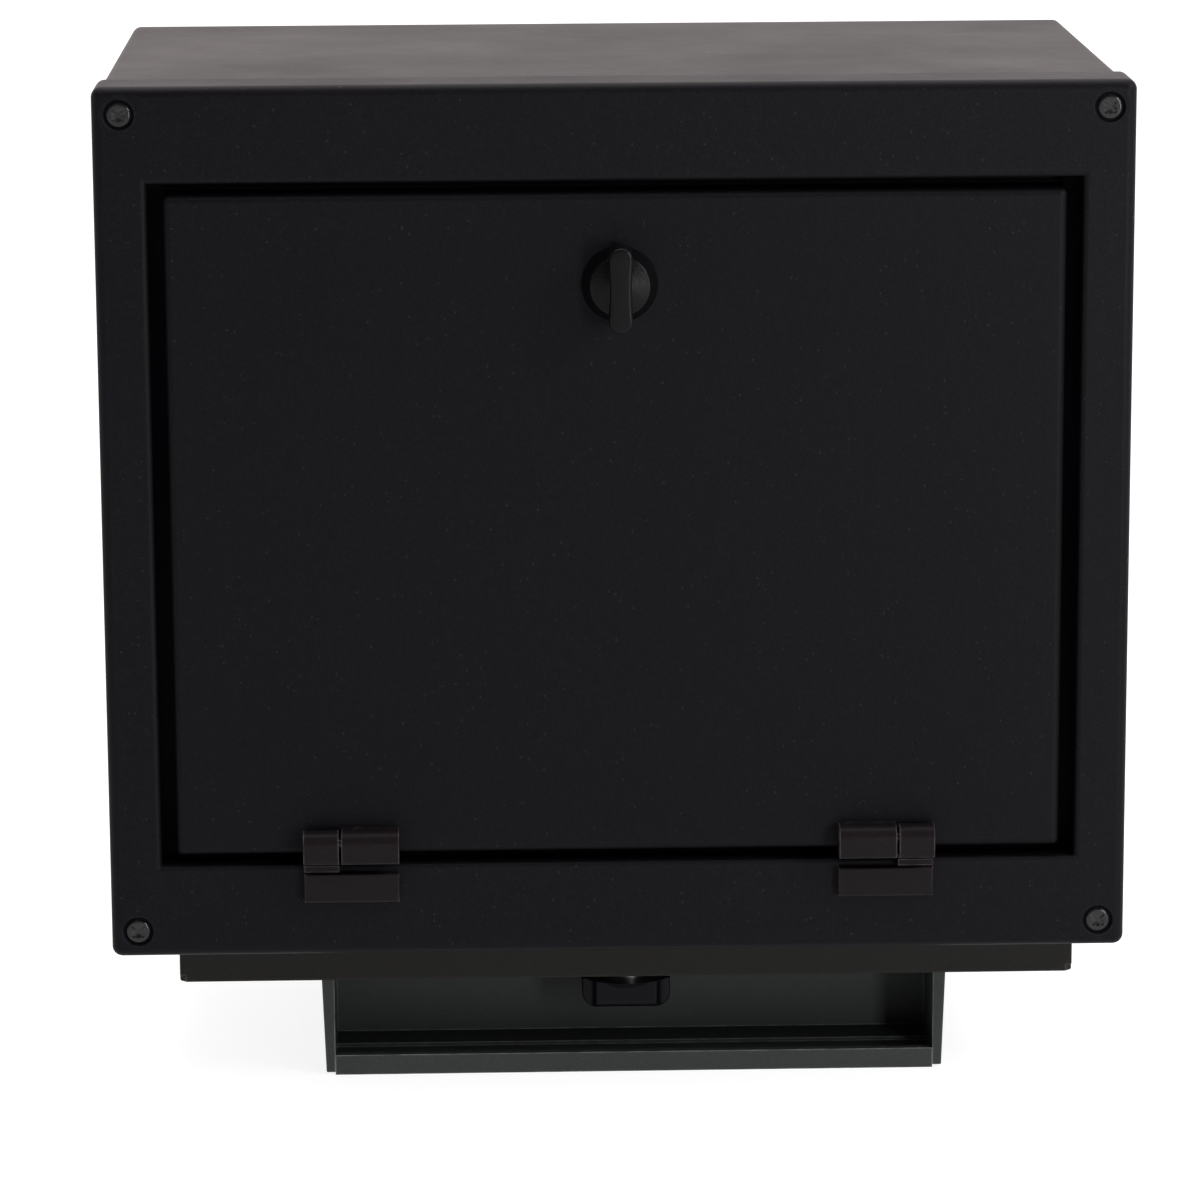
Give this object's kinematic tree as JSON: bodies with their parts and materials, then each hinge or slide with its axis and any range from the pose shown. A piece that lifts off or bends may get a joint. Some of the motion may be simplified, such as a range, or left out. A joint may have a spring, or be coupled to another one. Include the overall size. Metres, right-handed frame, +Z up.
{
  "type": "parcel drop box",
  "caption": "Black folded-steel parcel box with a bottom-hinged drop-down door, a quarter-turn knob latch and a clamp-on mounting base.",
  "frame": {"origin": "centre of the four-hole bolt pattern, on the underside of the mounting base", "axes": "+Z up, the door faces -Y, +X to the right for someone facing the door"},
  "size_m": [0.4, 0.2669, 0.4036],
  "materials": {
    "cover_coat": "fine-texture black powder coat",
    "body_coat": "fine-texture black powder coat",
    "door_coat": "fine-texture black powder coat",
    "inner_coat": "black powder coat",
    "pan_coat": "brownish black coat",
    "base_coat": "greenish black coat",
    "hinge_coat": "satin brownish black",
    "pin_black": "black oxide",
    "screw_black": "black oxide",
    "zinc_steel": "zinc plated",
    "seal_rubber": "solid rubber gasket",
    "latch_plastic": "moulded black nylon",
    "clamp_plastic": "coarse-textured moulded black"
  },
  "bodies": {
    "box": {"front_cover": "cover_coat", "body_shell": "body_coat", "rear_panel": "body_coat", "door_stop_frame": "inner_coat", "latch_keeper": "inner_coat", "base_pan": "pan_coat", "base_profile": "base_coat", "base_end_left": "base_coat", "base_end_right": "base_coat", "hinge_left_frame_leaf": "hinge_coat", "hinge_right_frame_leaf": "hinge_coat", "hinge_left_pin": "pin_black", "hinge_right_pin": "pin_black", "corner_screws": "screw_black", "rear_panel_screws": "screw_black", "base_end_screws": "screw_black", "pan_screws": "screw_black", "corner_nuts": "zinc_steel", "rear_panel_nuts": "zinc_steel", "hinge_frame_screws": "zinc_steel", "pan_standoffs": "zinc_steel", "clamp_nut": "zinc_steel", "door_seal": "seal_rubber"},
    "door": {"door_panel": "door_coat", "hinge_left_door_leaf": "hinge_coat", "hinge_right_door_leaf": "hinge_coat", "hinge_door_screws": "zinc_steel", "latch_bushing": "zinc_steel", "latch_bushing_nut": "zinc_steel"},
    "latch": {"latch_knob": "latch_plastic", "latch_spindle": "zinc_steel", "latch_cam": "zinc_steel", "cam_nut": "zinc_steel"},
    "clamp_travel_ring": {"clamp_washer": "zinc_steel"},
    "clamp": {"clamp_knob": "clamp_plastic", "clamp_stud": "zinc_steel"}
  },
  "joints": [
    {"name": "door_swing", "type": "hinge", "parent": "box", "child": "door", "pos_m": [-0.007, -0.143, 0.1072], "axis": [1, 0, 0], "range_deg": [0, 105]},
    {"name": "latch_turn", "type": "hinge", "parent": "door", "child": "latch", "pos_m": [-0.0057, -0.137, 0.3265], "axis": [0, 1, 0], "range_deg": [0, 90]},
    {"name": "clamp_travel", "type": "slide", "parent": "box", "child": "clamp_travel_ring", "axis": [0, 0, -1], "range_m": [0, 0.00501]},
    {"name": "clamp_turn", "type": "hinge", "parent": "clamp_travel_ring", "child": "clamp", "pos_m": [-0.003, -0.0858, 0.0383], "axis": [0, 0, -1], "range_deg": [0, 1440]}
  ],
  "couplings": [
    {"joint": "clamp_travel", "follows": "clamp_turn", "m_per_rad": 0.00019894}
  ]
}
